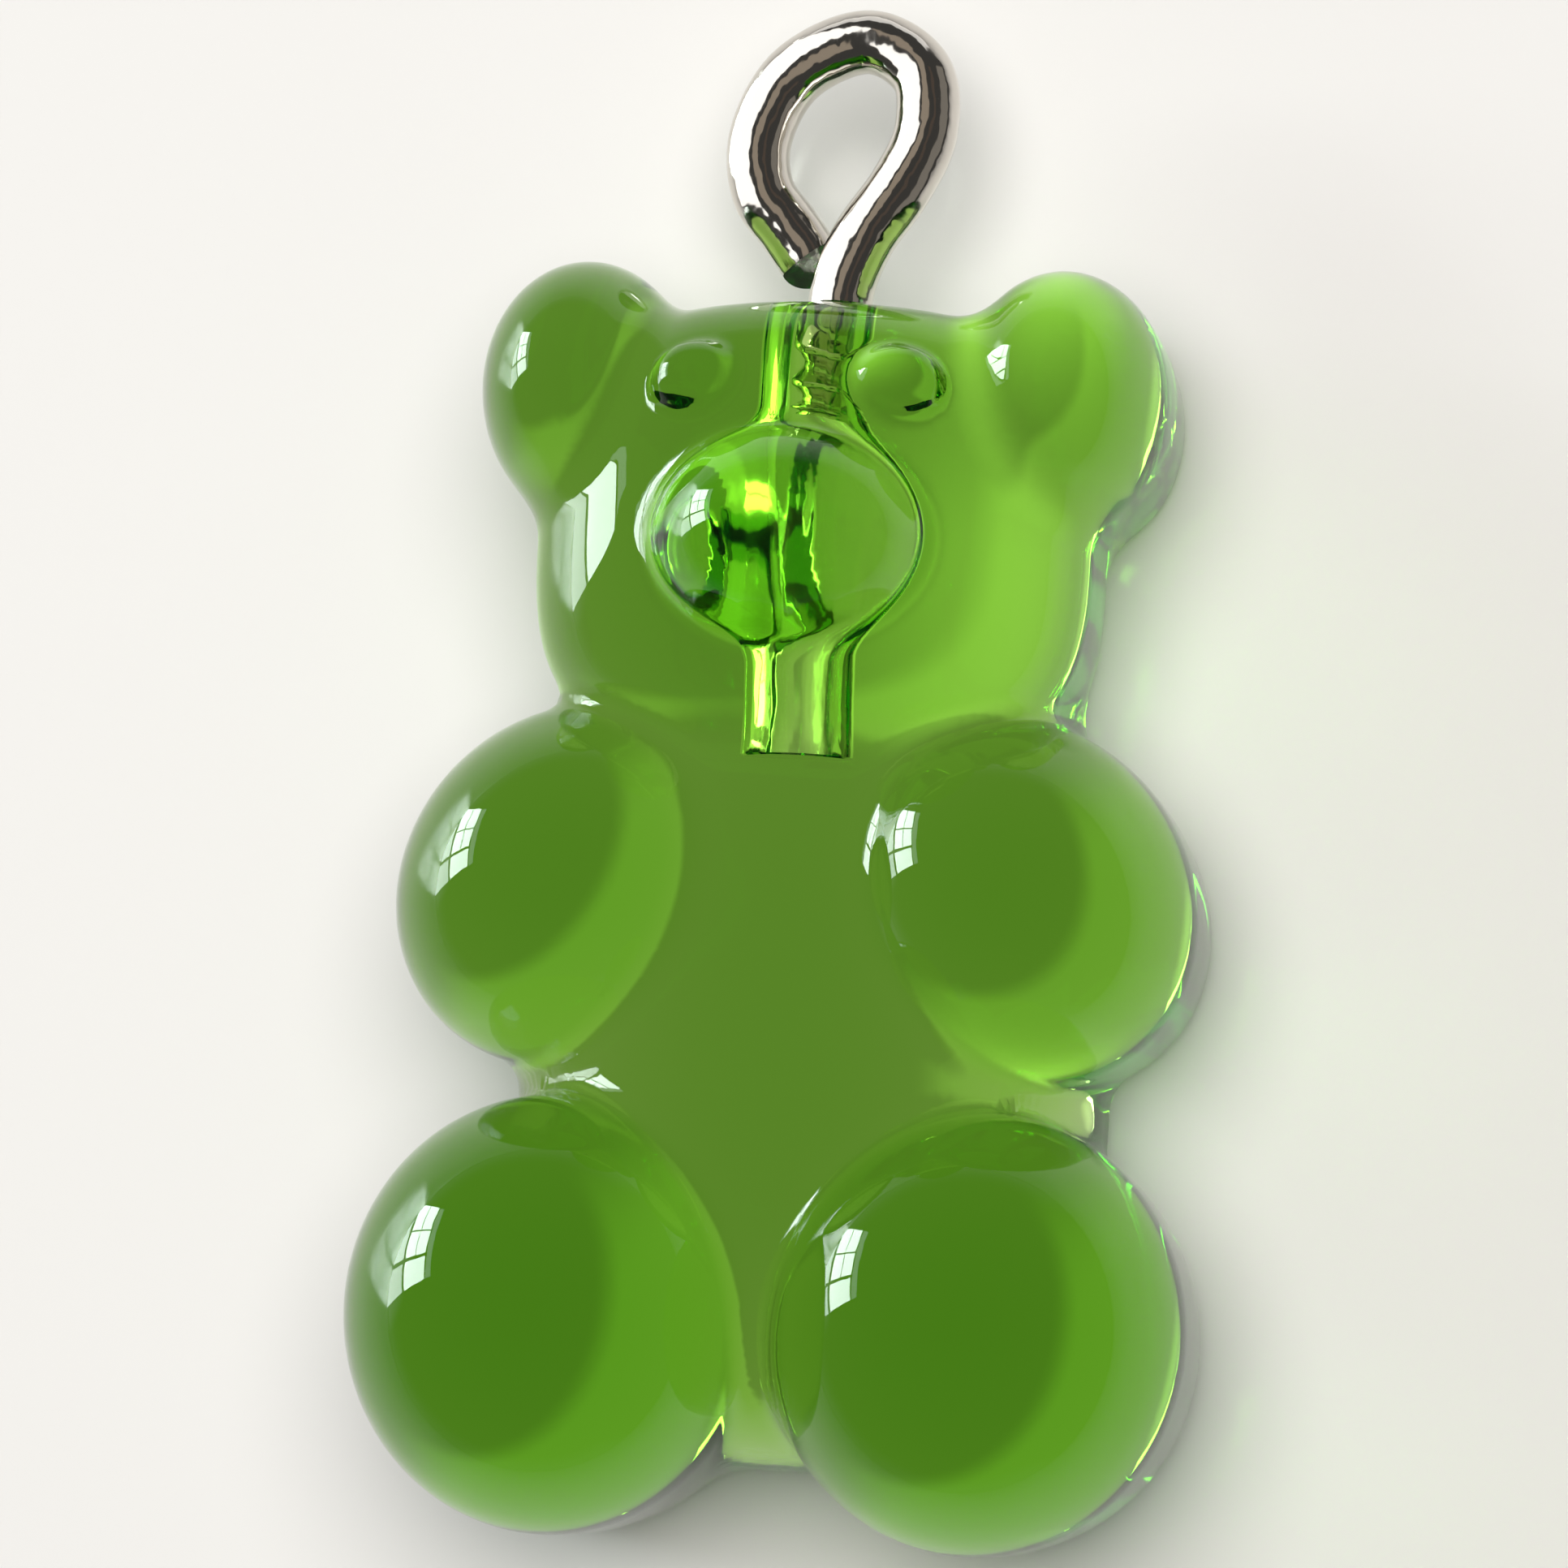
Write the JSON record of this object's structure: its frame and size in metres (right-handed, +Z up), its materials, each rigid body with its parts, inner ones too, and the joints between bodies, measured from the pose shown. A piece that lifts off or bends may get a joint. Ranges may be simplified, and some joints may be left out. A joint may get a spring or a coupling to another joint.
{
  "type": "gummy bear charm",
  "caption": "Clear green resin gummy bear charm with a flat back and a steel screw eye in the top of its head, lying on its back.",
  "frame": {"origin": "bottom centre of the whole charm's bounding box, on the surface it lies on", "axes": "+Y from the feet to the top of the screw eye, +Z up, which is the bear's front, and +X to the right as the front is looked at with the head up"},
  "size_m": [0.0144, 0.0268, 0.0081],
  "materials": {
    "resin": "clear green casting resin, glossy",
    "plated_steel": "bright nickel-plated steel wire"
  },
  "bodies": {
    "root": {"bear": "resin", "screw_eye": "plated_steel"}
  },
  "joints": []
}
